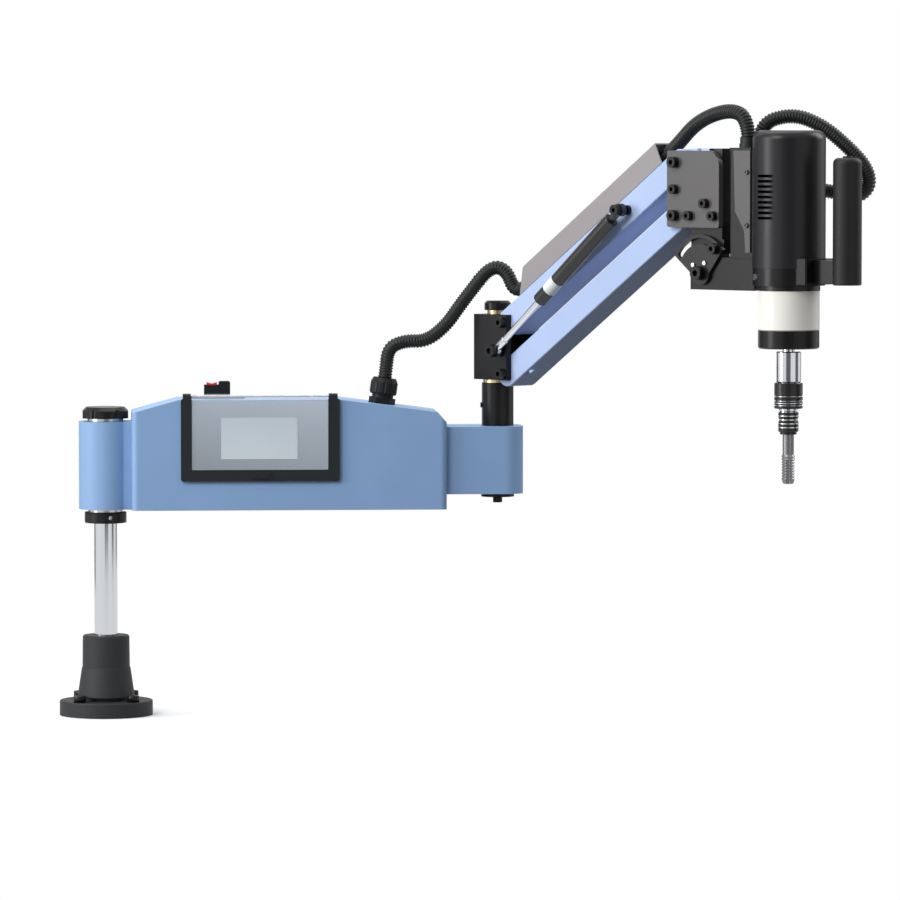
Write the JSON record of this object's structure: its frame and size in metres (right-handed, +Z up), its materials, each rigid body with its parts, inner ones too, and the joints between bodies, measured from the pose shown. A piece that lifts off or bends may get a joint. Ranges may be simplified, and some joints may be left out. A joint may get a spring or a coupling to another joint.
{
  "type": "arm tapping machine",
  "caption": "Column-mounted tapping machine: a swivelling control arm, a lifting parallelogram arm with gas spring, and a tilting servo head with a quick-change tap chuck.",
  "frame": {"origin": "centre of the base's underside, on the column's axis", "axes": "+Z up along the column, +X along the control arm to the elbow, -Y is the touch panel side"},
  "size_m": [1.1796, 0.6162, 0.9161],
  "materials": {
    "cast_iron": "matte",
    "chrome": "polished",
    "black": "gloss",
    "steel": "satin",
    "blue": "satin",
    "inner": "cast",
    "brass": "satin",
    "frame": "matte",
    "panel": "satin",
    "display": "gloss",
    "switch": "gloss",
    "conduit": "satin",
    "lid": "clear",
    "red": "gloss",
    "grey": "satin",
    "beam_blue": "satin",
    "duct": "satin",
    "charcoal": "satin",
    "white": "satin",
    "grip": "matte"
  },
  "bodies": {
    "base": {"base_casting": "cast_iron", "column": "chrome", "support_collar": "black", "collar_screw": "steel", "column_washers": "steel", "column_cap_nut": "black"},
    "control_arm": {"arm_housing": "blue", "rear_cover": "blue", "drive_unit": "inner", "barrel_bushes": "brass", "screen_frame": "frame", "lid_hinge_pin": "steel", "touch_panel": "panel", "display": "display", "switch_plate": "switch", "switch_housing": "switch", "cable_gland": "switch", "elbow_post": "black", "elbow_shaft": "steel", "elbow_rings": "brass", "elbow_nut": "black", "elbow_foot": "black", "lower_conduit": "conduit"},
    "clear_lid": {"clear_lid": "lid"},
    "rocker": {"rocker": "red"},
    "pivot_block": {"pivot_block": "grey", "block_bolts": "black", "elbow_conduit": "conduit"},
    "upper_beam": {"upper_beam": "beam_blue", "cable_cover": "duct", "gas_upper_stud": "black", "beam_conduit": "conduit"},
    "lower_beam": {"lower_beam": "beam_blue"},
    "gas_cylinder": {"gas_cylinder": "black"},
    "gas_rod": {"gas_rod": "chrome"},
    "head_carrier": {"carrier_plates": "grey", "carrier_block": "beam_blue", "tilt_lug": "black", "carrier_bolts": "black", "tilt_bolts": "black", "carrier_conduit": "conduit"},
    "head": {"sector_plate": "grey", "sector_screws": "steel", "head_bracket": "black", "clamp_screw": "steel", "side_covers": "grey", "tower_cap": "frame", "motor_cover": "charcoal", "servo_motor": "charcoal", "motor_plug": "switch", "gearbox": "white", "output_ring": "black", "handle_bracket": "black", "handle_grip": "grip", "head_conduit": "conduit"},
    "spindle": {"chuck_body": "chrome", "tap_adapter": "steel", "tap": "steel"},
    "chuck_sleeve": {"chuck_sleeve": "chrome"},
    "thumb_button": {"thumb_button": "switch"}
  },
  "joints": [
    {"name": "column_swivel", "type": "hinge", "parent": "base", "child": "control_arm", "pos_m": [0, 0, 0.376], "axis": [0, 0, 1], "continuous": true},
    {"name": "elbow_swivel", "type": "hinge", "parent": "control_arm", "child": "pivot_block", "pos_m": [0.59, 0, 0.55], "axis": [0, 0, 1], "range_deg": [-81, 179], "deforming": ["lower_conduit"]},
    {"name": "lift", "type": "hinge", "parent": "pivot_block", "child": "upper_beam", "pos_m": [0.6192, -0.03358, 0.59], "axis": [-0.7547, -0.6561, 0], "range_deg": [-42, 18], "deforming": ["elbow_conduit"]},
    {"name": "lower_beam_hinge", "type": "hinge", "parent": "pivot_block", "child": "lower_beam", "pos_m": [0.6192, -0.03358, 0.513], "axis": [-0.7547, -0.6561, 0], "range_deg": [-42, 18]},
    {"name": "carrier_hinge", "type": "hinge", "parent": "upper_beam", "child": "head_carrier", "pos_m": [0.8498, -0.29886, 0.83068], "axis": [-0.7547, -0.6561, 0], "range_deg": [-18, 42], "deforming": ["beam_conduit"]},
    {"name": "gas_pivot", "type": "hinge", "parent": "upper_beam", "child": "gas_cylinder", "pos_m": [0.75022, -0.24986, 0.76062], "axis": [-0.7547, -0.6561, 0], "range_deg": [-3.2, 3.2]},
    {"name": "gas_stroke", "type": "slide", "parent": "gas_cylinder", "child": "gas_rod", "axis": [0.5044, -0.5803, 0.6394], "range_m": [-0.024, 0.024]},
    {"name": "head_tilt", "type": "hinge", "parent": "head_carrier", "child": "head", "pos_m": [0.88063, -0.33434, 0.671], "axis": [0.7547, 0.6561, 0], "range_deg": [0, 70], "deforming": ["carrier_conduit"]},
    {"name": "spindle", "type": "hinge", "parent": "head", "child": "spindle", "pos_m": [0.97445, -0.44226, 0.5], "axis": [0, 0, 1], "continuous": true},
    {"name": "sleeve_slide", "type": "slide", "parent": "spindle", "child": "chuck_sleeve", "axis": [0, 0, -1], "range_m": [0, 0.0028], "stiffness_N_per_m": 1500, "springref_m": -0.004},
    {"name": "lid_hinge", "type": "hinge", "parent": "control_arm", "child": "clear_lid", "pos_m": [0.23, -0.05, 0.4805], "axis": [-1, 0, 0], "range_deg": [0, 110]},
    {"name": "switch_rock", "type": "hinge", "parent": "control_arm", "child": "rocker", "pos_m": [0.1595, 0, 0.4905], "axis": [0, 1, 0], "range_deg": [-11, 11]},
    {"name": "button_press", "type": "slide", "parent": "head", "child": "thumb_button", "axis": [0, 0, -1], "range_m": [0, 0.003], "stiffness_N_per_m": 800, "springref_m": -0.002}
  ],
  "couplings": [
    {"joint": "lower_beam_hinge", "follows": "lift", "ratio": 1},
    {"joint": "carrier_hinge", "follows": "lift", "ratio": -1},
    {"joint": "gas_pivot", "follows": "lift", "ratio": -0.075},
    {"joint": "gas_stroke", "follows": "lift", "m_per_rad": -0.0325}
  ]
}
